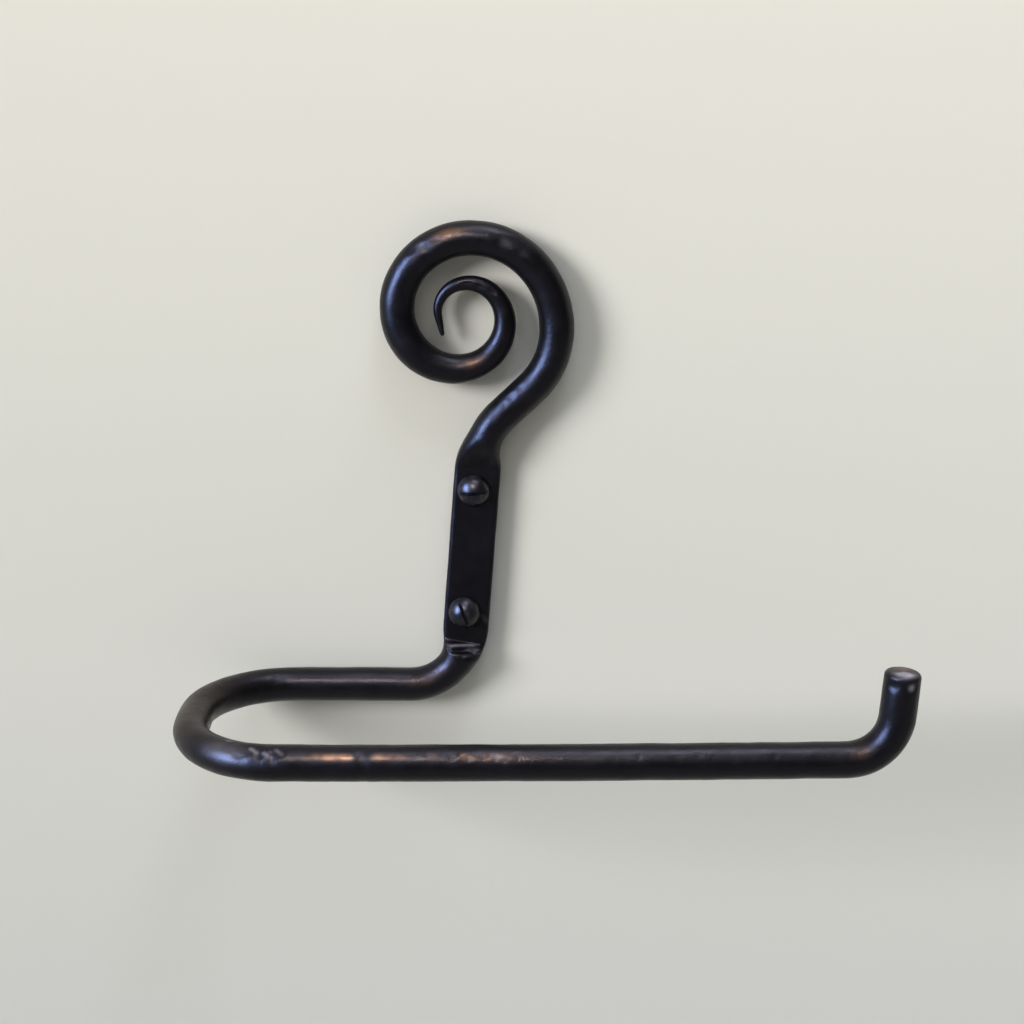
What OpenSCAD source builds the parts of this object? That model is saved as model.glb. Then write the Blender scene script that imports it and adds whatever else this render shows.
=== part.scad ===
// A hand-forged wall hook. One round bar is drawn to a point and rolled into a scroll at
// the top, flattened where two screws hold it, turned along the wall, bent out in a U and
// run back as a long level arm with an upturned end.
// The wall is the plane Y = 0 and the hook stands out from it towards -Y. X is to the
// right and Z is up. The origin is on the wall, midway between the screws. Millimetres.

/* [Bar] */
// Diameter of the round bar
bar_d = 10; // [9:0.5:11.5]
// Diameter at the very tip of the scroll
tip_d = 1.2; // [1:0.1:3]
// Length over which the bar is drawn down to the tip
taper_len = 74; // [55:1:90]
// How full the taper is, 1 for a plain cone and less for a fuller one
taper_power = 0.8; // [0.6:0.05:1]

/* [Flat for the screws] */
// Width of the flattened length
flat_w = 13.5; // [12.5:0.5:17]
// Thickness of the flattened length
flat_t = 5.5; // [4:0.5:7]
// Corner rounding of the flattened length
flat_edge_r = 1; // [0.5:0.1:1.5]
// From midway between the screws up to where the neck starts to bend
flat_up = 27; // [26.5:0.5:34]
// From midway between the screws down to where the elbow starts to bend
flat_down = 26; // [25.5:0.5:32]
// Lean of the flat from upright, top to the right
flat_lean = 4; // [0:0.5:6]
// How far before a bend the flat starts to change
change_lead = 2.5; // [1:0.5:3]
// Length over which the flat narrows to the round bar at the neck
neck_narrowing = 12; // [8:0.5:15]
// Length over which the flat thickens to the round bar at the neck
neck_thickening = 11; // [8:0.5:14]
// Length over which the flat narrows to the round bar at the elbow
elbow_narrowing = 14; // [9:0.5:17]
// How far the flat runs on into the elbow before it thickens
shoulder_run = 1.5; // [0:0.25:2.5]
// Length of the steep shoulder where it thickens to the round bar
shoulder_len = 4.5; // [3:0.5:6]

/* [Neck and scroll] */
// Bend radius where the neck leaves the flat
neck_r = 22; // [18:0.5:27]
// Angle of the neck to the flat
neck_angle = 42; // [34:1:48]
// Straight length of the neck
neck_len = 12; // [9:0.5:17]
// Bend radius where the neck turns up into the scroll
return_r = 23; // [19:0.5:28]
// Bend radius at the outside start of the scroll
scroll_r_out = 29.5; // [28:0.5:34]
// Bend radius at the inner end of the scroll
scroll_r_in = 7; // [6:0.25:8]
// How early the scroll tightens, 1 for evenly and less for early
scroll_ease = 0.68; // [0.64:0.02:0.8]
// Whole angle the scroll turns through
scroll_angle = 544; // [500:4:560]
// Last small bend before the straight tip
tip_angle = 12; // [8:1:16]
// Straight length at the tip
tip_len = 5.5; // [3:0.5:7]

/* [Arm] */
// Bend radius of the elbow below the flat
elbow_r = 16.5; // [14:0.5:20]
// Length that runs back along the wall
back_len = 33.5; // [25:0.5:50]
// Bend radius of the two quarters of the U
u_r = 27; // [20:0.5:36]
// Straight length across the U
u_len = 7.5; // [2:0.5:16]
// Length of the arm
arm_len = 153.5; // [110:0.5:190]
// Slight rise of the arm along its length in degrees
arm_rise_angle = 0.9; // [0.2:0.1:2]
// Bend radius at the upturned end
upturn_r = 13.5; // [11:0.5:18]
// Angle that the end turns up
upturn_angle = 85.5; // [70:0.5:95]
// Straight length of the upturned end
end_len = 13; // [8:0.5:20]
// Bevel around the flat cut end
end_bevel = 0.6; // [0.3:0.1:1.2]

/* [Screws] */
// Distance between the two screws
screw_spacing = 37.5; // [35:0.5:39]
// How far the screws sit to the left of the flat's middle line
screw_aside = 0.75; // [0:0.25:1]
// Outside diameter of the screw thread
screw_d = 5; // [4:0.25:5.5]
// Length of a screw under its head
screw_len = 40; // [30:1:50]
// Length of a screw's point
screw_point_len = 7.5; // [5:0.5:10]
// Diameter of the round head
head_d = 9.8; // [9:0.2:11]
// Height of the round head
head_h = 3.8; // [3:0.1:4.4]
// Width of the driver slot
slot_w = 1; // [0.8:0.1:1.6]
// Depth of the driver slot from the top of the head
slot_depth = 1.9; // [1.2:0.1:2.2]
// Turn of the upper screw's slot, 0 for level
slot_angle_up = 5; // [0:1:179]
// Turn of the lower screw's slot, 0 for level
slot_angle_down = 112; // [0:1:179]
// Room between the thread and the hole in the flat, all round
hole_play = 0.25; // [0.2:0.05:0.4]

/* [Hidden] */

bar_r = bar_d / 2;
tip_r = tip_d / 2;
// The round bar stands a hair off the wall so that the flat beds first
wall_relief = 0.4;
// A round section has this many points, a quarter of them to each corner of the flat
corner_points = 6;
ring_points = 4 * corner_points;
point_step = 360 / ring_points;
// Turn of the bar between neighbouring sections
step_angle = 8;
scroll_steps = round(scroll_angle / step_angle);
// The straight tip has this many sections so that its taper stays smooth
tip_steps = 5;
hole_d = screw_d + 2 * hole_play;
// The smooth neck of a screw is thinner than its thread by this much all round
thread_rise = 0.3;
screw_neck_d = screw_d - 2 * thread_rise;
// The point is blunt by this much
point_d = 0.6;
// How far a cutting shape passes the surface it cuts
past = 1;
// Fineness of the round screws and holes
screw_fn = 48;

// One step along the bar is [length, turn in the wall's plane, turn out of it]
function straight(length, n = 1) = [for (i = [1:n]) [length / n, 0, 0]];
function turn_steps(angle) = max(2, ceil(abs(angle) / step_angle));
function arc_len(radius, angle) = radius * abs(angle) * PI / 180;
function bend(radius, angle) =
    let (n = turn_steps(angle))
    [for (i = [1:n]) [arc_len(radius, angle) / n, angle / n, 0]];
function swing(radius, angle) =
    let (n = turn_steps(angle))
    [for (i = [1:n]) [arc_len(radius, angle) / n, 0, angle / n]];
function scroll_radius(share) =
    scroll_r_out + (scroll_r_in - scroll_r_out) * pow(share, scroll_ease);
function scroll_bend() =
    let (a = scroll_angle / scroll_steps)
    [for (i = [0.5:1:scroll_steps]) [arc_len(scroll_radius(i / scroll_steps), a), a, 0]];

// A place along the bar is [point, heading, side, front, distance from the flat's middle]
function about(v, axis, a) =
    v * cos(a) + cross(axis, v) * sin(a) + axis * (axis * v) * (1 - cos(a));
function ahead(at, m) = [at[0] + at[1] * m[0], at[1], at[2], at[3], at[4] + m[0]];
function around(at, m, axis, a) =
    let (radius = m[0] / (a * PI / 180))
    let (across = cross(axis, at[1]))
    [
        at[0] + radius * (sin(a) * at[1] + (1 - cos(a)) * across),
        about(at[1], axis, a),
        about(at[2], axis, a),
        about(at[3], axis, a),
        at[4] + m[0]
    ];
function moved(at, m) =
    m[1] != 0 ? around(at, m, at[3], m[1]) :
    m[2] != 0 ? around(at, m, at[2], m[2]) :
    ahead(at, m);
function walk(from, steps) =
    [for (i = 0, at = from; i <= len(steps); at = i < len(steps) ? moved(at, steps[i]) : at, i = i + 1) at];

flat_side = [cos(flat_lean), 0, -sin(flat_lean)];
flat_rise = [sin(flat_lean), 0, cos(flat_lean)];
flat_front = [0, -1, 0];

// The flat gets one section more where it starts to change
function flat_steps(length) = concat(straight(length - change_lead), straight(change_lead));
neck_steps = concat(flat_steps(flat_up), bend(neck_r, -neck_angle), straight(neck_len));
tip_path = concat(bend(scroll_r_in, tip_angle), straight(tip_len, tip_steps));
scroll_path = concat(bend(return_r, neck_angle), scroll_bend(), tip_path);
elbow_steps = concat(flat_steps(flat_down), bend(elbow_r, flat_lean - 90), straight(back_len));
u_steps = concat(swing(u_r, -90), straight(u_len), swing(u_r, -90));
arm_r = arm_len / (arm_rise_angle * PI / 180);
arm_steps = concat(bend(arm_r, -arm_rise_angle), bend(upturn_r, -upturn_angle));
end_steps = concat(straight(end_len - end_bevel), straight(end_bevel));

flat_middle = flat_side * screw_aside;
upper = walk([flat_middle, flat_rise, flat_side, flat_front, 0], concat(neck_steps, scroll_path));
lower = walk(
    [flat_middle, -flat_rise, flat_side, flat_front, 0],
    concat(elbow_steps, u_steps, arm_steps, end_steps)
);
upper_len = upper[len(upper) - 1][4];

// A section is [half width, half thickness, corner radius, how far its middle stands off the wall].
// The bar is flat where both shares are 0 and round where both are 1.
function between(at_flat, at_round, share) = at_flat + (at_round - at_flat) * share;
function section(narrow, thick) = [
    between(flat_w / 2, bar_r, narrow),
    between(flat_t / 2, bar_r, thick),
    between(flat_edge_r, bar_r, thick),
    between(flat_t / 2, bar_r + wall_relief, thick)
];
function eased(x) = let (k = min(max(x, 0), 1)) k * k * (3 - 2 * k);
function drawn(left) =
    (tip_r + (bar_r - tip_r) * pow(min(left / taper_len, 1), taper_power)) / bar_r;
function upper_section(at) =
    let (changed = at[4] - flat_up + change_lead)
    let (s = section(eased(changed / neck_narrowing), eased(changed / neck_thickening)))
    let (k = drawn(upper_len - at[4]))
    [s[0] * k, s[1] * k, s[2] * k, s[3]];
function lower_section(at) =
    let (past_bend = at[4] - flat_down)
    let (narrow = eased((past_bend + change_lead) / elbow_narrowing))
    section(narrow, eased((past_bend - shoulder_run) / shoulder_len));
function bevelled(s) = [s[0] - end_bevel, s[1] - end_bevel, s[2] - end_bevel, s[3]];

// The ring of points around one place: four corner arcs whose sides touch the true outline
function ring(at, s) =
    let (r = s[2] / cos(point_step / 2))
    [for (i = [0:ring_points - 1])
        let (a = (i + 0.5) * point_step)
        at[0] - [0, s[3], 0]
        + at[2] * (sign(cos(a)) * (s[0] - s[2]) + r * cos(a))
        + at[3] * (sign(sin(a)) * (s[1] - s[2]) + r * sin(a))
    ];

upper_rings = [for (i = [len(upper) - 1:-1:0]) ring(upper[i], upper_section(upper[i]))];
lower_rings = [for (i = [1:len(lower) - 2]) ring(lower[i], lower_section(lower[i]))];
end_place = lower[len(lower) - 1];
rings = concat(upper_rings, lower_rings, [ring(end_place, bevelled(section(1, 1)))]);
bar_points = [for (r = rings) for (p = r) p];

// Two triangles for each patch between neighbouring rings, and a cap at each end
function patch(i, j) =
    let (a = i * ring_points + j)
    let (b = i * ring_points + (j + 1) % ring_points)
    [[a, a + ring_points, b], [b, a + ring_points, b + ring_points]];
side_faces = [for (i = [0:len(rings) - 2]) for (j = [0:ring_points - 1]) for (t = patch(i, j)) t];
tip_cap = [for (j = [0:ring_points - 1]) j];
end_cap = [for (j = [ring_points - 1:-1:0]) (len(rings) - 1) * ring_points + j];
bar_faces = concat(side_faces, [tip_cap], [end_cap]);

// Puts a thing at one of the two screws, its axis pointing out of the wall
module at_screw(way) {
    translate(flat_rise * way * screw_spacing / 2)
        rotate([90, 0, 0])
            children();
}

module screw_hole() {
    translate([0, 0, -past])
        cylinder(h = flat_t + 2 * past, d = hole_d, $fn = screw_fn);
}

module hook_bar() {
    color([0.12, 0.12, 0.13])
        difference() {
            polyhedron(points = bar_points, faces = bar_faces, convexity = 10);
            at_screw(1) screw_hole();
            at_screw(-1) screw_hole();
        }
}

// Half the outline of the domed head, from its rim to its crown
dome_r = (head_d * head_d / 4 + head_h * head_h) / (2 * head_h);
dome_low = head_h - dome_r;
rim_angle = -asin(dome_low / dome_r);
dome_steps = 10;
function dome_angle(i) = rim_angle + (90 - rim_angle) * i / dome_steps;
dome_arc = [for (i = [0:dome_steps - 1]) dome_r * [cos(dome_angle(i)), sin(dome_angle(i))]];
dome_outline = concat([for (p = dome_arc) p + [0, dome_low]], [[0, head_h], [0, 0]]);

module screw_head(slot_angle) {
    difference() {
        rotate_extrude($fn = screw_fn) polygon(dome_outline);
        rotate([0, 0, slot_angle])
            translate([-head_d, -slot_w / 2, head_h - slot_depth])
                cube([2 * head_d, slot_w, slot_depth + past]);
    }
}

// The screw points into the wall, with its head on the front of the flat
module screw(slot_angle) {
    thread_len = screw_len - flat_t - screw_point_len;
    translate([0, 0, flat_t]) screw_head(slot_angle);
    cylinder(h = flat_t, d = screw_neck_d, $fn = screw_fn);
    translate([0, 0, -thread_len])
        cylinder(h = thread_len, d = screw_d, $fn = screw_fn);
    translate([0, 0, -thread_len - screw_point_len])
        cylinder(h = screw_point_len, d1 = point_d, d2 = screw_d, $fn = screw_fn);
}

module mounting_screws() {
    color([0.16, 0.16, 0.17]) {
        at_screw(1) screw(slot_angle_up);
        at_screw(-1) screw(slot_angle_down);
    }
}

hook_bar();
mounting_screws();
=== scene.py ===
"""A hand-forged wall hook: a hammered, blackened bar held to the wall by two slotted screws.

The bar and the screws are rebuilt here as finer meshes in the solids' own frame: the wall is the
plane Y = 0, the hook stands out towards -Y, X is to the right and Z is up. The object's sizes are
millimetres and degrees, and each finished mesh is turned into metres. The stage is in metres.
"""
import math
from collections import namedtuple

import bmesh
import bpy
import numpy as np
from mathutils import Matrix, Vector, noise


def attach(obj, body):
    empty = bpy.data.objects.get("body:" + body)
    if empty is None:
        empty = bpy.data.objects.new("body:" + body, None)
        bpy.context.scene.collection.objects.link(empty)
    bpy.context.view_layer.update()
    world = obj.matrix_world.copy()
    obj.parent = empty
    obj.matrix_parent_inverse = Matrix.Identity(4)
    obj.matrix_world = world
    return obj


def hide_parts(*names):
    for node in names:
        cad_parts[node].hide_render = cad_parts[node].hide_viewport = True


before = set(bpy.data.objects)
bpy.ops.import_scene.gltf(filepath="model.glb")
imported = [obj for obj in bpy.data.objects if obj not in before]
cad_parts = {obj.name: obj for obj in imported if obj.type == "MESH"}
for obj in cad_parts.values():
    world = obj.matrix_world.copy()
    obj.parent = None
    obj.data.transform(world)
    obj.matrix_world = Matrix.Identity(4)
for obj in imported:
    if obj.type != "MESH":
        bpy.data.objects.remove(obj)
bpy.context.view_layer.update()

MM = 0.001

# The bar's driving sizes, as in the solids
BAR_R = 5.0
TIP_R = 0.6
TAPER_LEN = 74.0
TAPER_POWER = 0.8
WALL_RELIEF = 0.4
FLAT_W = 13.5
FLAT_T = 5.5
FLAT_EDGE_R = 1.0
FLAT_UP = 27.0
FLAT_DOWN = 26.0
FLAT_LEAN = 4.0
CHANGE_LEAD = 2.5
NECK_NARROWING = 12.0
NECK_THICKENING = 11.0
ELBOW_NARROWING = 14.0
SHOULDER_RUN = 1.5
SHOULDER_LEN = 4.5
NECK_R = 22.0
NECK_TURN = 42.0
NECK_LEN = 12.0
RETURN_R = 23.0
SCROLL_R_OUT = 29.5
SCROLL_R_IN = 7.0
SCROLL_EASE = 0.68
SCROLL_TURN = 544.0
TIP_TURN = 12.0
TIP_LEN = 5.5
ELBOW_R = 16.5
BACK_LEN = 33.5
U_R = 27.0
U_LEN = 7.5
ARM_LEN = 153.5
ARM_RISE = 0.9
UPTURN_R = 13.5
UPTURN_ANGLE = 85.5
END_LEN = 13.0

# The screws' driving sizes, as in the solids
SCREW_SPACING = 37.5
SCREW_ASIDE = 0.75
THREAD_R = 2.5
SCREW_NECK_R = 2.2
SCREW_LEN = 40.0
POINT_LEN = 7.5
HEAD_R = 4.9
HEAD_H = 3.8
SLOT_W = 1.0
SLOT_DEPTH = 1.9
SLOT_TURNS = {"upper": 5.0, "lower": 112.0}

# The flat's own directions: up along it, to its right, and out of the wall
LEAN = math.radians(FLAT_LEAN)
RISE = np.array([math.sin(LEAN), 0.0, math.cos(LEAN)])
SIDE = np.array([math.cos(LEAN), 0.0, -math.sin(LEAN)])
FRONT = np.array([0.0, -1.0, 0.0])

# The cut end: its rounded edge, its face's swell, and the rings over both, those on the face
# as shares of its size
END_ROUNDING = 1.3
END_DOME = 0.25
END_EDGE_RINGS = 6
END_FACE_RINGS = (0.85, 0.6, 0.35, 0.12)
# The rings that close the scroll's tip: share of the tip's size, and distance past it
TIP_RINGS = ((0.35, 0.45), (0.75, 0.3))

# Fineness of the bar's mesh, finer at the foot of the flat
RING_STEP = 0.55
FOOT_STEP = 0.25
SCROLL_STEPS = 340
RING_POINTS = 64

# Hammering all over the bar, coarse and fine: wave length, height, and shift of the pattern
HAMMERING = ((8.0, 0.10, 0.0), (3.1, 0.035, 7.0))
# Hammering and marks fade out this close to the wall, and to a share of themselves at the tip
WALL_FADE = 1.5
TIP_FADE = 40.0
TIP_SHARE = 0.15
# How sharply a mark falls off at its border
MARK_FALL = 1.3

# A mark on the bar: distance along it from the middle of the flat, up the scroll positive and
# down the arm negative; angle round it; half length; half width; depth, height or strength
Mark = namedtuple("Mark", "at turn half_len half_wide amount")
# A mark level with the foot of the flat: distance down from the flat's middle; distance to the
# right; half length; half width; height, a crease where it is negative, or strength
FootMark = namedtuple("FootMark", "down right half_len half_wide amount")


def marks(kind, *rows):
    return [kind(*row) for row in rows]


DENTS = marks(
    Mark,
    # scroll and neck
    (128.8, 48, 2.0, 1.5, 0.30), (126.2, 68, 1.6, 1.4, 0.30), (123.4, 62, 1.3, 1.0, 0.20),
    (105.4, 82, 2.4, 1.6, 0.26), (103.0, 68, 1.8, 1.4, 0.22), (100.0, 76, 1.7, 1.2, 0.18),
    (212.4, 84, 2.0, 1.5, 0.36), (208.6, 90, 1.6, 1.2, 0.36), (205.0, 80, 1.5, 1.2, 0.30),
    (49.4, 124, 1.2, 1.0, 0.16), (53.3, 123, 1.0, 0.9, 0.14), (46.5, 118, 1.1, 0.8, 0.12),
    # run along the wall and U-bend
    (-91.0, 140, 1.5, 1.2, 0.15), (-162.0, 175, 1.0, 0.8, 0.25), (-167.6, 232, 1.5, 1.1, 0.24),
    (-169.6, 204, 2.0, 1.4, 0.42), (-172.6, 216, 1.1, 2.0, 0.45), (-175.6, 228, 1.0, 2.2, 0.42),
    (-177.6, 218, 1.0, 1.4, 0.26),
    # arm
    (-223.4, 229, 1.3, 1.0, 0.14), (-228.0, 233, 1.2, 0.9, 0.16), (-232.2, 225, 1.3, 1.0, 0.18),
    (-235.4, 229, 1.5, 1.1, 0.22), (-237.4, 240, 1.0, 0.9, 0.20), (-241.4, 229, 1.1, 1.0, 0.15),
    (-273.6, 229, 1.0, 0.9, 0.12), (-289.8, 225, 1.0, 0.9, 0.12), (-310.0, 236, 1.1, 0.9, 0.10),
    # below the cut end
    (-359.9, 233, 1.3, 1.7, 0.36), (-360.0, 288, 1.2, 1.6, 0.34),
)
# Raised spots
LUMPS = marks(
    Mark,
    (-171.0, 211, 0.8, 1.2, 0.20), (-174.1, 222, 0.6, 1.8, 0.18),
    (-226.0, 226, 1.0, 0.8, 0.12), (-234.0, 233, 0.9, 0.8, 0.14), (-361.9, 258, 0.8, 3.4, 0.14),
)
# The hammered lip across the foot of the flat, with creases below it
LIP = marks(
    FootMark,
    (28.7, -1.2, 0.5, 3.9, 0.36), (28.9, 3.6, 0.5, 1.5, 0.30), (29.8, -1.4, 0.45, 2.8, -0.56),
    (30.2, 2.6, 0.45, 0.9, -0.28), (31.2, 3.6, 0.45, 1.2, -0.25), (31.4, 1.2, 0.5, 1.2, 0.15),
)
# The lip's top edge and strokes painted as bright bare metal, which is a painted highlight along the lip;
# and a scratch beside the lower screw
FOOT_WORN_AND_HIGHLIGHT = marks(
    FootMark,
    (28.6, -1.2, 0.26, 3.4, 0.55), (29.8, 3.4, 0.3, 1.4, 0.20), (30.8, 4.2, 0.3, 1.2, 0.16),
    (19.4, 4.6, 0.5, 0.6, 0.07), (20.2, 5.3, 0.5, 0.6, 0.08), (21.0, 6.0, 0.5, 0.6, 0.07),
)
# The mark of a round tool across the arm's front
TOOL_AT = -199.5
TOOL_HALF = 1.4
TOOL_DEPTH = 0.18
# How fast marks at the foot and the tool's mark come in as the bar's surface turns to the front,
# and how far it has to turn first
FOOT_FACING = (2.0, 0.0)
TOOL_FACING = (1.6, 0.3)
# Patches burnished brown, broken by the tool's mark. Most lie along the lines where the lamps glint on the
# scroll, the back run and the arm, and stand for the copper glints there: partly oxide, partly painted
# glint
BROWN_AND_GLINTS = marks(
    Mark,
    (119.6, 58, 4.2, 1.4, 0.90), (178.6, 112, 4.2, 1.7, 0.60), (-43.5, 117, 8.0, 1.6, 0.30),
    (-192.5, 229, 8.0, 1.05, 1.0), (-205.0, 229, 7.0, 1.0, 0.75), (-235.0, 229, 9.0, 1.3, 0.45),
    (-218.4, 228, 1.4, 1.0, 0.70), (-226.6, 227, 1.2, 1.0, 0.70), (-127.5, 190, 22.0, 8.0, 0.17),
    (-333.8, 231, 4.0, 1.8, 0.25), (-365.6, 88, 3.0, 7.0, 0.50), (TOOL_AT, 229, 1.9, 4.0, -2.4),
)
# Spots of bare metal, partly wear and partly painted highlights: the cut end's bright front rim, the
# U-bend's front and small bright specks at dents
WORN_AND_HIGHLIGHT = marks(
    Mark,
    (-364.9, 268, 1.7, 4.2, 1.50), (-360.0, 290, 0.9, 0.9, 0.50), (-366.4, 88, 2.4, 6.0, 0.07),
    (-163.5, 228, 6.0, 3.0, 0.16), (-162.0, 175, 1.0, 0.7, 0.25), (-235.6, 229, 1.8, 1.0, 0.14),
    (127.5, 58, 1.2, 1.4, 0.16), (104.5, 75, 1.4, 1.4, 0.10),
)
# Slanting strokes of bare metal from glancing blows, partly painted highlights on their facets: distance
# along, angle round, strength.
# Each is a row of three spots, with these steps between them and this half length and half width
STROKES = ((-170.6, 207, 0.34), (-174.2, 223, 0.34), (-177.2, 212, 0.20))
STROKE_STEP = -0.8
STROKE_TURN = 7
STROKE_SPOT = (0.55, 0.6)

# The head's mesh: points round it, rings up its dome, and the rings under its rim, each as
# distance in from the rim and height above the flat
HEAD_POINTS = 72
DOME_RINGS = 18
UNDER_HEAD = ((0.55 * HEAD_R, 0.02), (0.3, 0.02), (0.05, 0.18))
# How far the slot's blade stands past the head, and how its edges are softened
PAST_HEAD = 2.0
SLOT_SOFTENING = 0.12
SOFTENED_ANGLE = 35.0
# Knocks on the dome: height, wave length, and shift of the pattern on each screw
KNOCK_HEIGHT = 0.07
KNOCK_WAVE = 2.6
KNOCK_SHIFT = {"upper": 3.7, "lower": 11.2}

# The shank's mesh and the thread that the solids leave out
SHANK_POINTS = 48
SHANK_STEP = 0.16
SHANK_INTO_HEAD = 0.6
POINT_R = 0.3
THREAD_PITCH = 2.2
THREAD_DEPTH = 0.75
THREAD_RUN_IN = 2.5
CREST_HALF = 0.32

# Colours of the iron, and the tint of its wax. The bare steel's colour also paints highlights, and the
# brown oxide's colour also paints copper glints
BLACK = (0.0022, 0.0021, 0.0024)
BLUE_BLACK = (0.0030, 0.0030, 0.0046)
BROWN_OXIDE_AND_GLINT = (0.16, 0.092, 0.060)
BARE_STEEL_AND_HIGHLIGHT = (0.42, 0.39, 0.46)
WAX_TINT = (0.95, 0.87, 1.0)
# How much of a full shine the waxed bar and the screws have, and their least and most roughness
SHEEN = 0.25
SCREW_SHEEN = 0.46
ROUGHNESS = (0.28, 0.40)
SCREW_ROUGHNESS = (0.30, 0.40)

# The stage, in metres: a wall that shades between two colours, and a floor
WALL_TOP = (0.85, 0.832, 0.745)
WALL_BOTTOM = (0.66, 0.668, 0.648)
WALL_SHADE_Z = 0.16
FLOOR = (0.54, 0.54, 0.52)
FLOOR_Z = -0.9
STAGE_REACH = 4.0

# Where the window is, and the colours of the lamps and of the room
WINDOW_AT = (-1.0, -0.72, 0.38)
WINDOW_AIM = (0, 0, 0.02)
SOFT_WHITE = (1.0, 0.99, 0.97)
SKY_WHITE = (0.80, 0.85, 1.0)
SKY_BLUE = (0.39, 0.57, 1.0)
BULB_WHITE = (1.0, 0.94, 0.86)
ROOM = (0.10, 0.10, 0.10)

# The camera that took the photograph, from the fit of the bar's outline, in millimetres and degrees
CAMERA_AT = (2.75, -552.2, 160.7)
CAMERA_DOWN = 15.18
CAMERA_RIGHT = 1.03
CAMERA_ROLL = 0.48
FOCAL_PIXELS = 1930.6
FRAME_PIXELS = 1024
SENSOR = 36.0


# The bar's path

def arc_len(radius, angle):
    return radius * math.radians(abs(angle))


def spin(v, axis, angle):
    """v turned about a unit axis by an angle in radians."""
    c, s = math.cos(angle), math.sin(angle)
    return v * c + np.cross(axis, v) * s + axis * (axis @ v) * (1 - c)


class Bar:
    """Walks along the bar from the middle of the flat and keeps every place it passes.

    A place is a point on the path, the headings along the bar, to its side and to its front, and
    the distance walked. A turn is about the front and a swing about the side.
    """

    def __init__(self, heading):
        self.at = (SIDE * SCREW_ASIDE, heading, SIDE, FRONT, 0.0)
        self.places = [self.at]

    def step(self, length, turn, swing):
        p, h, s, f, d = self.at
        angle = math.radians(turn or swing)
        if angle == 0:
            self.at = (p + h * length, h, s, f, d + length)
        else:
            axis = f if turn else s
            radius = length / angle
            across = np.cross(axis, h)
            p = p + radius * (math.sin(angle) * h + (1 - math.cos(angle)) * across)
            self.at = (p, *(spin(v, axis, angle) for v in (h, s, f)), d + length)
        self.places.append(self.at)

    def go(self, length, turn=0.0, swing=0.0, ring_step=RING_STEP):
        n = max(1, math.ceil(length / ring_step))
        for _ in range(n):
            self.step(length / n, turn / n, swing / n)

    def bend(self, radius, turn=0.0, swing=0.0, ring_step=RING_STEP):
        self.go(arc_len(radius, turn or swing), turn, swing, ring_step)

    def scroll(self):
        turn = SCROLL_TURN / SCROLL_STEPS
        for i in range(SCROLL_STEPS):
            share = ((i + 0.5) / SCROLL_STEPS) ** SCROLL_EASE
            radius = SCROLL_R_OUT + (SCROLL_R_IN - SCROLL_R_OUT) * share
            self.step(arc_len(radius, turn), turn, 0.0)

    def columns(self):
        """The places as one array each of points, headings, sides, fronts and distances."""
        return [np.array(column) for column in zip(*self.places)]


def upper_path():
    bar = Bar(RISE)
    bar.go(FLAT_UP)
    bar.bend(NECK_R, -NECK_TURN)
    bar.go(NECK_LEN)
    bar.bend(RETURN_R, NECK_TURN)
    bar.scroll()
    bar.bend(SCROLL_R_IN, TIP_TURN)
    bar.go(TIP_LEN)
    return bar.columns()


def lower_path():
    bar = Bar(-RISE)
    bar.go(FLAT_DOWN)
    bar.bend(ELBOW_R, FLAT_LEAN - 90, ring_step=FOOT_STEP)
    bar.go(BACK_LEN)
    bar.bend(U_R, swing=-90)
    bar.go(U_LEN)
    bar.bend(U_R, swing=-90)
    bar.go(ARM_LEN, -ARM_RISE)
    bar.bend(UPTURN_R, -UPTURN_ANGLE)
    bar.go(END_LEN)
    return bar.columns()


# The bar's sections

def eased(x):
    x = np.clip(x, 0, 1)
    return x * x * (3 - 2 * x)


def section(narrow, thick, scale):
    """Half width, half thickness, corner radius and stand-off of each section along the bar."""
    flat = np.array([FLAT_W / 2, FLAT_T / 2, FLAT_EDGE_R, FLAT_T / 2])
    whole = np.array([BAR_R, BAR_R, BAR_R, BAR_R + WALL_RELIEF])
    s = flat + (whole - flat) * np.stack([narrow, thick, thick, thick], 1)
    s[:, :3] *= scale[:, None]
    return s


def upper_section(walked):
    left = np.clip((walked[-1] - walked) / TAPER_LEN, 0, 1)
    drawn = (TIP_R + (BAR_R - TIP_R) * left ** TAPER_POWER) / BAR_R
    changed = walked - FLAT_UP + CHANGE_LEAD
    return section(eased(changed / NECK_NARROWING), eased(changed / NECK_THICKENING), drawn)


def lower_section(walked):
    narrow = eased((walked - FLAT_DOWN + CHANGE_LEAD) / ELBOW_NARROWING)
    thick = eased((walked - FLAT_DOWN - SHOULDER_RUN) / SHOULDER_LEN)
    return section(narrow, thick, np.ones(len(walked)))


def outline(s, n):
    """n points evenly spaced round each rounded rectangle, as distances to its side and its front."""
    a, b, c = s[:, 0:1], s[:, 1:2], s[:, 2:3]
    up, corner = b - c, c * math.pi / 2
    quarter = up + corner + (a - c)
    d = np.arange(n)[None, :] / n * 4 * quarter
    q = np.minimum((d / quarter).astype(int), 3)
    e = d - q * quarter
    e = np.where(q % 2 == 1, quarter - e, e)
    t = np.clip((e - up) / np.maximum(c, 1e-6), 0, math.pi / 2)
    on_side, on_corner = e < up, e < up + corner
    x = np.where(on_side, a, np.where(on_corner, a - c + c * np.cos(t), a - (e - up - corner) - c))
    y = np.where(on_side, e, np.where(on_corner, b - c + c * np.sin(t), b))
    return x * np.where((q == 0) | (q == 3), 1, -1), y * np.where(q < 2, 1, -1)


def swept(path, s):
    """Rings of points along a path, and the angle of each point round its ring."""
    p, _, side, front, _ = path
    middle = p + s[:, 3:] * FRONT
    x, y = outline(s, RING_POINTS)
    rings = middle[:, None] + x[..., None] * side[:, None] + y[..., None] * front[:, None]
    return rings, np.degrees(np.arctan2(y, x)) % 360


def joined(upper, lower):
    """What runs from the flat's middle both ways, as one run from the scroll's tip to the arm's end."""
    return np.concatenate([upper[::-1], lower[1:]])


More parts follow.
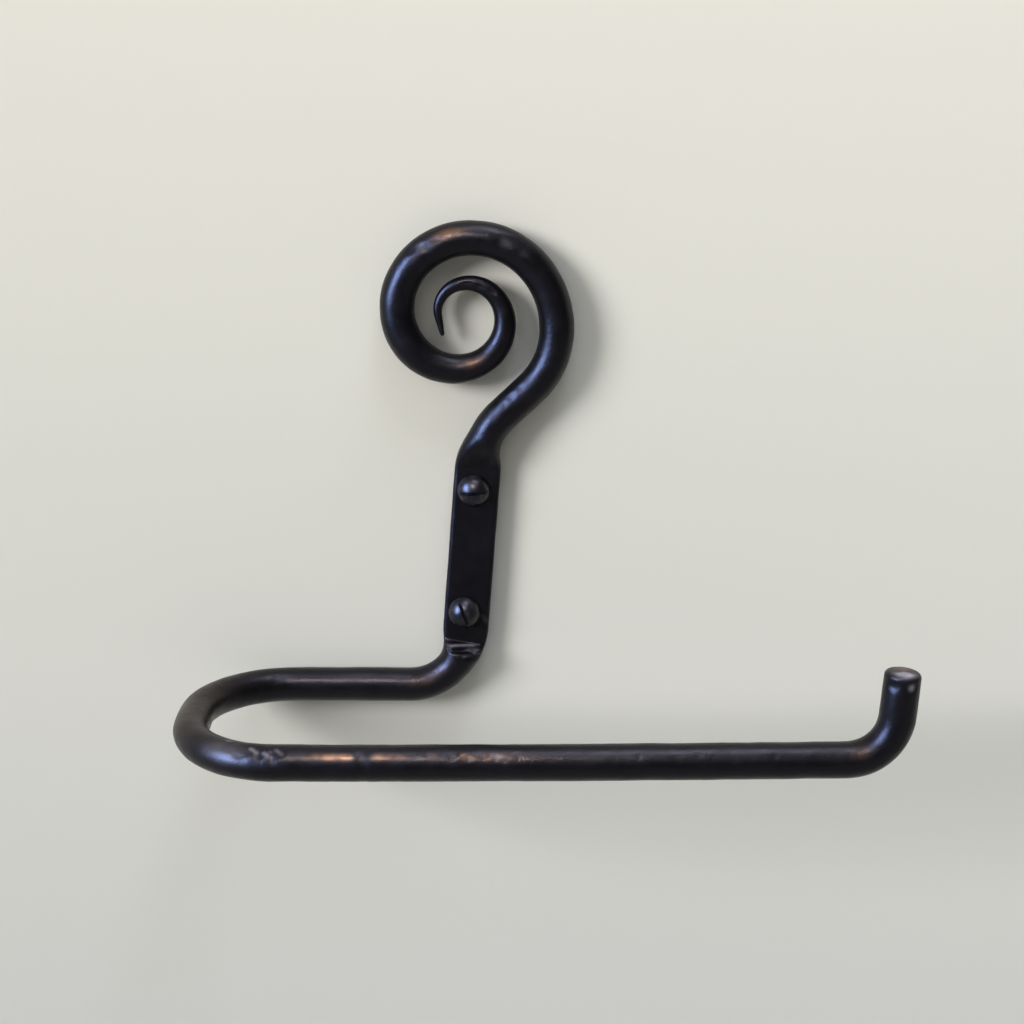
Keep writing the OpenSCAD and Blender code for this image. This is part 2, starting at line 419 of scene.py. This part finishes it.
def bar_rings():
    """The smooth bar's rings, with each point's distance along the bar, angle round it, and heading."""
    upper, lower = upper_path(), lower_path()
    up_rings, up_angle = swept(upper, upper_section(upper[4]))
    low_rings, low_angle = swept(lower, lower_section(lower[4]))
    along = np.repeat(joined(upper[4], -lower[4])[:, None], RING_POINTS, 1)
    heading = joined(-upper[1], lower[1])
    return joined(up_rings, low_rings), along, joined(up_angle, low_angle), heading


# Marks of the hammer and of use

def spot(mark, along, angle):
    """How strongly a mark is felt at each point: 1 in its middle, 0 well outside it."""
    across = np.radians(np.abs((angle - mark.turn + 180) % 360 - 180)) * BAR_R
    away = ((along - mark.at) / mark.half_len) ** 2 + (across / mark.half_wide) ** 2
    return np.exp(-away ** MARK_FALL)


def on_bar(group, along, angle):
    return sum(m.amount * spot(m, along, angle) for m in group)


def facing_front(normal, rate, start):
    """How far each point faces the front: 0 at the sides and the back, 1 on the front."""
    return np.clip(-rate * normal[..., 1] - start, 0, 1)


def on_foot(group, points, normal):
    """The sum of marks at the flat's foot, felt on the bar's front only."""
    down, right = -(points @ RISE), points @ SIDE - SCREW_ASIDE
    return facing_front(normal, *FOOT_FACING) * sum(
        m.amount * np.exp(-((down - m.down) / m.half_len) ** 2 - ((right - m.right) / m.half_wide) ** 4)
        for m in group)


def in_tool_mark(along, normal):
    return np.exp(-((along - TOOL_AT) / TOOL_HALF) ** 4) * facing_front(normal, *TOOL_FACING)


def stroke_spots(at, turn, strength):
    """One stroke as three spots of bare metal and painted highlight in a slanting row."""
    return [Mark(at + STROKE_STEP * k, turn + STROKE_TURN * k, *STROKE_SPOT, strength) for k in (-1, 0, 1)]


def hammered(points):
    """How far hammering lifts each point."""
    flat_list = points.reshape(-1, 3)
    lift = sum(height * np.array([noise.noise(Vector(p / wave + shift)) for p in flat_list])
               for wave, height, shift in HAMMERING)
    return lift.reshape(points.shape[:2])


def marked(points, along, angle, normal):
    """The bar's points moved by hammering, dents, lumps, the lip and the tool's mark."""
    lift = hammered(points) - on_bar(DENTS, along, angle) + on_bar(LUMPS, along, angle)
    lift = lift + on_foot(LIP, points, normal) - TOOL_DEPTH * in_tool_mark(along, normal)
    off_wall = np.clip(-points[..., 1] / WALL_FADE, 0, 1)
    thick = np.clip((along.max() - along) / TIP_FADE, TIP_SHARE, 1)
    return points + normal * (lift * off_wall * thick)[..., None]


# The bar's mesh

def normals_of(points):
    along = np.gradient(points, axis=0)
    around = np.roll(points, -1, axis=1) - np.roll(points, 1, axis=1)
    n = np.cross(around, along)
    return n / np.maximum(np.linalg.norm(n, axis=2, keepdims=True), 1e-9)


def end_rings(last, heading):
    """Rings that close the bar's end, each with how far on it lies: a rounded edge, then the cut face."""
    middle = last.mean(0)
    rings, further = [], []
    for a in np.linspace(0, math.pi / 2, END_EDGE_RINGS + 1)[1:]:
        share = 1 - END_ROUNDING / BAR_R * (1 - math.cos(a))
        rings.append(middle + (last - middle) * share + heading * END_ROUNDING * math.sin(a))
        further.append(END_ROUNDING * a)
    rim, edge = rings[-1], further[-1]
    for share in END_FACE_RINGS:
        rings.append(rim.mean(0) + (rim - rim.mean(0)) * share + heading * END_DOME * (1 - share))
        further.append(edge + (BAR_R - END_ROUNDING) * (1 - share))
    return rings, further


def tip_rings(first, heading):
    middle = first.mean(0)
    return [middle + (first - middle) * share - heading * past for share, past in TIP_RINGS]


def bar_mesh():
    """The bar's rings, with how far along and at what angle round the bar each point lies."""
    points, along, angle, heading = bar_rings()
    points = marked(points, along, angle, normals_of(points))
    # the cut end is rounded back into the length that it has
    keep = along[:, 0] > along.min() + END_ROUNDING
    tip = tip_rings(points[0], heading[0])
    cut, further = end_rings(points[keep][-1], heading[-1])
    rings = np.concatenate([tip, points[keep], cut])
    reach = np.concatenate([[along[0]] * len(tip), along[keep], [along[keep][-1] - f for f in further]])
    turn = np.concatenate([[angle[0]] * len(tip), angle[keep], [angle[-1]] * len(cut)])
    return rings, reach, turn


def skin(rings):
    """Points and faces over rings: quads between neighbours and one face over each end."""
    count, n = rings.shape[:2]
    faces = [(i * n + j, i * n + (j + 1) % n, (i + 1) * n + (j + 1) % n, (i + 1) * n + j)
             for i in range(count - 1) for j in range(n)]
    ends = [tuple(range(n - 1, -1, -1)), tuple(range((count - 1) * n, count * n))]
    return list(map(tuple, rings.reshape(-1, 3))), faces + ends


def new_piece(name, verts, faces):
    mesh = bpy.data.meshes.new(name)
    mesh.from_pydata(verts, [], faces)
    bm = bmesh.new()
    bm.from_mesh(mesh)
    bmesh.ops.recalc_face_normals(bm, faces=bm.faces)
    bm.to_mesh(mesh)
    bm.free()
    mesh.shade_smooth()
    obj = bpy.data.objects.new(name, mesh)
    bpy.context.scene.collection.objects.link(obj)
    return obj


def into_place(obj, matrix):
    """Moves the mesh itself, from millimetres in its own frame to metres in the part's."""
    obj.data.transform(Matrix.Scale(MM, 4) @ matrix)
    return obj


def paint(obj, name, values):
    layer = obj.data.attributes.new(name, "FLOAT", "POINT")
    layer.data.foreach_set("value", np.clip(values, 0, 1).astype(np.float32).ravel())


def make_bar():
    rings, reach, turn = bar_mesh()
    bar = into_place(new_piece("forged_bar", *skin(rings)), Matrix.Identity(4))
    # The spots and strokes are bare metal and painted highlights; the brown patches are oxide and painted
    # copper glints
    strokes = [s for stroke in STROKES for s in stroke_spots(*stroke)]
    worn_and_highlight = on_bar(WORN_AND_HIGHLIGHT + strokes, reach, turn) + on_foot(FOOT_WORN_AND_HIGHLIGHT, rings, normals_of(rings))
    paint(bar, "brown", on_bar(BROWN_AND_GLINTS, reach, turn))
    paint(bar, "worn_and_highlight", worn_and_highlight)
    return bar


# The screws

def turned(rows, n):
    """Rings about the local Z axis, from rows of [radius, or one for each point round; height]."""
    a = np.arange(n) / n * 2 * math.pi
    return np.array([np.stack([r * np.cos(a), r * np.sin(a), np.full(n, z)], 1) for r, z in rows])


def head_rows():
    """Rows of [radius, height] from under the rim to the small flat on top of the dome."""
    dome = (HEAD_R ** 2 + HEAD_H ** 2) / (2 * HEAD_H)
    low = HEAD_H - dome
    rim = math.asin(-low / dome)
    rows = [(HEAD_R - inwards, FLAT_T + up) for inwards, up in UNDER_HEAD]
    for i in range(1, DOME_RINGS + 1):
        a = rim + (math.pi / 2 - rim) * i / (DOME_RINGS + 0.5)
        rows.append((dome * math.cos(a), FLAT_T + low + dome * math.sin(a)))
    return rows


def shank_row(z, point_z):
    """The radius at each point round the shank at a height: the neck, the thread or the point."""
    to_point = min(1.0, (z - point_z) / POINT_LEN)
    outer = POINT_R + (THREAD_R - POINT_R) * to_point
    core = outer - THREAD_DEPTH * to_point ** 0.5
    phase = (z / THREAD_PITCH + np.arange(SHANK_POINTS) / SHANK_POINTS) % 1.0
    crest = np.maximum(0.0, 1 - np.abs(phase - 0.5) / CREST_HALF)
    threaded = min(1.0, max(0.0, -z / THREAD_RUN_IN))
    return SCREW_NECK_R * (1 - threaded) + (core + (outer - core) * crest) * threaded


def shank_rows():
    point_z = FLAT_T - SCREW_LEN
    heights = np.append(np.arange(FLAT_T + SHANK_INTO_HEAD, point_z, -SHANK_STEP), point_z)
    return [(shank_row(z, point_z), z) for z in heights]


def at_screw(way):
    """Where a screw's own frame sits: its Z axis points out of the wall."""
    place = Matrix.Translation(Vector(RISE * SCREW_SPACING / 2 * way))
    return place @ Matrix.Rotation(math.pi / 2, 4, "X")


def slot_blade(turn):
    """A block as wide as the slot, from the slot's floor up past the head."""
    top = FLAT_T + HEAD_H
    verts = [(x, y, z) for x in (-2 * HEAD_R, 2 * HEAD_R) for y in (-SLOT_W / 2, SLOT_W / 2)
             for z in (top - SLOT_DEPTH, top + PAST_HEAD)]
    faces = [(0, 1, 3, 2), (4, 6, 7, 5), (0, 4, 5, 1), (2, 3, 7, 6), (0, 2, 6, 4), (1, 5, 7, 3)]
    blade = new_piece("slot_cutter", verts, faces)
    blade.data.transform(Matrix.Rotation(math.radians(turn), 4, "Z"))
    return blade


def cut_slot(head, turn):
    blade = slot_blade(turn)
    cut = head.modifiers.new("slot", "BOOLEAN")
    cut.operation, cut.solver, cut.object = "DIFFERENCE", "EXACT", blade
    soft = head.modifiers.new("soft_edges", "BEVEL")
    soft.width, soft.segments = SLOT_SOFTENING, 2
    soft.limit_method, soft.angle_limit = "ANGLE", math.radians(SOFTENED_ANGLE)
    graph = bpy.context.evaluated_depsgraph_get()
    mesh = bpy.data.meshes.new_from_object(head.evaluated_get(graph))
    head.modifiers.clear()
    head.data = mesh
    bpy.data.objects.remove(blade)


def knock_head(head, shift):
    """Small knocks on the dome, as on a screw that has been driven by hand."""
    for v in head.data.vertices:
        out = Vector((v.co.x, v.co.y, v.co.z - FLAT_T)).normalized()
        v.co += out * KNOCK_HEIGHT * noise.noise(v.co / KNOCK_WAVE + Vector((shift, 0, 0)))


def make_screw(name, way):
    head = new_piece(f"{name}_screw_head", *skin(turned(head_rows(), HEAD_POINTS)))
    cut_slot(head, SLOT_TURNS[name])
    knock_head(head, KNOCK_SHIFT[name])
    head.data.shade_smooth()
    shank = new_piece(f"{name}_screw_shank", *skin(turned(shank_rows(), SHANK_POINTS)))
    return [into_place(piece, at_screw(way)) for piece in (head, shank)]


# Materials

class Nodes:
    """A short way to write a material's nodes."""

    def __init__(self, name):
        self.mat = bpy.data.materials.new(name)
        self.mat.use_nodes = True
        self.tree = self.mat.node_tree
        self.tree.nodes.clear()
        self.out = self.add("ShaderNodeOutputMaterial")

    def add(self, kind, **settings):
        node = self.tree.nodes.new(kind)
        for key, value in settings.items():
            setattr(node, key, value)
        return node

    def link(self, a, b):
        self.tree.links.new(a, b)

    def noise(self, scale, detail=4.0, rough=0.5):
        coord = self.add("ShaderNodeTexCoord")
        tex = self.add("ShaderNodeTexNoise")
        tex.inputs["Scale"].default_value = scale
        tex.inputs["Detail"].default_value = detail
        tex.inputs["Roughness"].default_value = rough
        self.link(coord.outputs["Object"], tex.inputs["Vector"])
        return tex.outputs["Fac"]

    def attribute(self, name):
        return self.add("ShaderNodeAttribute", attribute_name=name).outputs["Fac"]

    def span(self, value, low, high, to_low=0.0, to_high=1.0):
        """A value's range from low to high, mapped to another range."""
        node = self.add("ShaderNodeMapRange")
        limits = {"From Min": low, "From Max": high, "To Min": to_low, "To Max": to_high}
        for key, number in limits.items():
            node.inputs[key].default_value = number
        self.link(value, node.inputs["Value"])
        return node.outputs["Result"]

    def math(self, operation, a, b):
        node = self.add("ShaderNodeMath", operation=operation)
        self.link(a, node.inputs[0])
        self.link(b, node.inputs[1])
        return node.outputs[0]

    def mix(self, share, a, b):
        """Two colours, each a tuple or another node's, mixed by a share."""
        node = self.add("ShaderNodeMix", data_type="RGBA")
        self.link(share, node.inputs[0])
        for socket, value in ((node.inputs[6], a), (node.inputs[7], b)):
            if isinstance(value, tuple):
                socket.default_value = (*value, 1.0)
            else:
                self.link(value, socket)
        return node.outputs[2]

    def bump(self, height, strength, distance, under=None):
        node = self.add("ShaderNodeBump")
        node.inputs["Strength"].default_value = strength
        node.inputs["Distance"].default_value = distance
        self.link(height, node.inputs["Height"])
        if under is not None:
            self.link(under, node.inputs["Normal"])
        return node.outputs["Normal"]


class WaxedIron(Nodes):
    """Blackened, waxed iron with blue-black patches, for a bar or a screw to go on from."""

    def __init__(self, name, sheen):
        super().__init__(name)
        self.shader = self.add("ShaderNodeBsdfPrincipled")
        self.shader.inputs["Specular Tint"].default_value = (*WAX_TINT, 1.0)
        self.shader.inputs["Specular IOR Level"].default_value = sheen
        self.link(self.shader.outputs[0], self.out.inputs["Surface"])
        self.colour = self.mix(self.span(self.noise(90, 5), 0.40, 0.66), BLACK, BLUE_BLACK)

    def to_shader(self, **values):
        for key, value in values.items():
            self.link(value, self.shader.inputs[key.replace("_", " ")])


def bar_material(name):
    n = WaxedIron(name, SHEEN)
    broken = n.span(n.noise(300, 4, 0.55), 0.30, 0.55, 0.35, 1.0)
    # Brown patches: oxide, and painted copper glints along the glint lines
    brown = n.math("MULTIPLY", n.attribute("brown"), broken)
    # Bare metal and painted highlights: lighter, more metallic spots
    worn_and_highlight = n.math("MULTIPLY", n.attribute("worn_and_highlight"), n.span(n.noise(220, 3), 0.35, 0.55, 0.6, 1.0))
    coarse = n.bump(n.noise(900, 6, 0.6), 0.50, 0.00018)
    n.to_shader(
        Base_Color=n.mix(worn_and_highlight, n.mix(brown, n.colour, BROWN_OXIDE_AND_GLINT), BARE_STEEL_AND_HIGHLIGHT),
        Metallic=n.math("MAXIMUM", n.span(brown, 0, 1, 0.0, 0.7), n.span(worn_and_highlight, 0, 1, 0.0, 0.35)),
        Roughness=n.span(n.noise(260, 5), 0.3, 0.7, *ROUGHNESS),
        Normal=n.bump(n.noise(2600, 3), 0.12, 0.00006, coarse))
    return n.mat


def screw_material(name):
    n = WaxedIron(name, SCREW_SHEEN)
    scuffed = n.span(n.noise(500, 4, 0.55), 0.50, 0.72, 0.0, 0.07)
    n.to_shader(
        Base_Color=n.mix(scuffed, n.colour, BARE_STEEL_AND_HIGHLIGHT),
        Metallic=n.span(scuffed, 0, 1, 0.0, 0.6),
        Roughness=n.span(n.noise(320, 4), 0.3, 0.7, *SCREW_ROUGHNESS),
        Normal=n.bump(n.noise(1200, 4), 0.15, 0.00010))
    return n.mat


class Paint(Nodes):
    """A matt paint that is seen from its front only."""

    def __init__(self, name):
        super().__init__(name)
        self.shader = self.add("ShaderNodeBsdfDiffuse")
        clear = self.add("ShaderNodeBsdfTransparent")
        either = self.add("ShaderNodeMixShader")
        self.link(self.add("ShaderNodeNewGeometry").outputs["Backfacing"], either.inputs[0])
        self.link(self.shader.outputs[0], either.inputs[1])
        self.link(clear.outputs[0], either.inputs[2])
        self.link(either.outputs[0], self.out.inputs["Surface"])


def wall_material(name):
    """Paint that shades from one colour at the top to another at the bottom."""
    n = Paint(name)
    place = n.add("ShaderNodeSeparateXYZ")
    n.link(n.add("ShaderNodeTexCoord").outputs["Object"], place.inputs[0])
    share = n.span(place.outputs["Z"], -WALL_SHADE_Z, WALL_SHADE_Z)
    n.link(n.mix(share, WALL_BOTTOM, WALL_TOP), n.shader.inputs["Color"])
    return n.mat


def floor_material(name):
    n = Paint(name)
    n.shader.inputs["Color"].default_value = (*FLOOR, 1.0)
    return n.mat


# The stage, the lamps and the camera

def sheet(name, corners, material):
    mesh = bpy.data.meshes.new(name)
    mesh.from_pydata(corners, [], [tuple(range(len(corners)))])
    obj = bpy.data.objects.new(name, mesh)
    bpy.context.scene.collection.objects.link(obj)
    mesh.materials.append(material)


def make_stage():
    r, z = STAGE_REACH, FLOOR_Z
    sheet("wall", [(-r, 0, z), (r, 0, z), (r, 0, r), (-r, 0, r)], wall_material("wall_paint"))
    sheet("floor", [(-r, -r, z), (r, -r, z), (r, r, z), (-r, r, z)], floor_material("floor_paint"))


def lamp(name, kind, place, target, energy, colour, **settings):
    data = bpy.data.lights.new(name, kind)
    data.energy, data.color = energy, colour
    for key, value in settings.items():
        setattr(data, key, value)
    obj = bpy.data.objects.new(name, data)
    bpy.context.scene.collection.objects.link(obj)
    obj.location = place
    obj.rotation_euler = (Vector(target) - obj.location).to_track_quat("-Z", "Y").to_euler()
    return obj


def panel(name, place, target, energy, colour, wide, high):
    return lamp(name, "AREA", place, target, energy, colour, shape="RECTANGLE", size=wide, size_y=high)


def make_lamps():
    lamp("daylight", "SUN", (-0.4, -0.85, 1.0), (0, 0, 0), 0.62, SOFT_WHITE, angle=math.radians(75))
    # The window's light is one lamp, fill, and its mirror image in the iron is another
    fill = lamp("fill", "SUN", WINDOW_AT, WINDOW_AIM, 2.74, SOFT_WHITE, angle=math.radians(24))
    fill.visible_glossy = False
    panel("ceiling", (0.22, -0.12, 1.0), (0.08, -0.06, 0), 8.0, SKY_WHITE, 0.8, 0.34)
    window = panel("window", WINDOW_AT, WINDOW_AIM, 56.0, SKY_BLUE, 0.48, 0.80)
    bulb = panel("bulb", (-0.072, -0.40, 0.335), (-0.04, -0.067, -0.045), 1.3, BULB_WHITE, 0.036, 0.05)
    for mirrored in (window, bulb):
        mirrored.visible_diffuse = False


def make_room():
    world = bpy.data.worlds.new("room")
    bpy.context.scene.world = world
    world.use_nodes = True
    world.node_tree.nodes["Background"].inputs["Color"].default_value = (*ROOM, 1.0)


def make_camera():
    down, right, roll = (math.radians(a) for a in (CAMERA_DOWN, CAMERA_RIGHT, CAMERA_ROLL))
    ahead = Vector((math.sin(right) * math.cos(down), math.cos(right) * math.cos(down), -math.sin(down)))
    across = Vector((math.cos(right), -math.sin(right), 0))
    up = across.cross(ahead)
    x = across * math.cos(roll) + up * math.sin(roll)
    y = up * math.cos(roll) - across * math.sin(roll)
    data = bpy.data.cameras.new("camera")
    data.sensor_width = SENSOR
    data.lens = FOCAL_PIXELS / FRAME_PIXELS * SENSOR
    data.clip_start = 0.01
    obj = bpy.data.objects.new("camera", data)
    turned_to = Matrix((x, y, -ahead)).transposed().to_4x4()
    obj.matrix_world = Matrix.Translation(Vector(CAMERA_AT) * MM) @ turned_to
    bpy.context.scene.collection.objects.link(obj)
    bpy.context.scene.camera = obj


bpy.context.scene.view_settings.view_transform = "Standard"
make_camera()
make_stage()
make_lamps()
make_room()

bar = make_bar()
bar.data.materials.append(bar_material("forged_iron"))
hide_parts("hook_bar")
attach(bar, "root")

screw_iron = screw_material("screw_iron")
for name, way in (("upper", 1), ("lower", -1)):
    for piece in make_screw(name, way):
        piece.data.materials.clear()
        piece.data.materials.append(screw_iron)
        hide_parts("mounting_screws")
        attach(piece, "root")
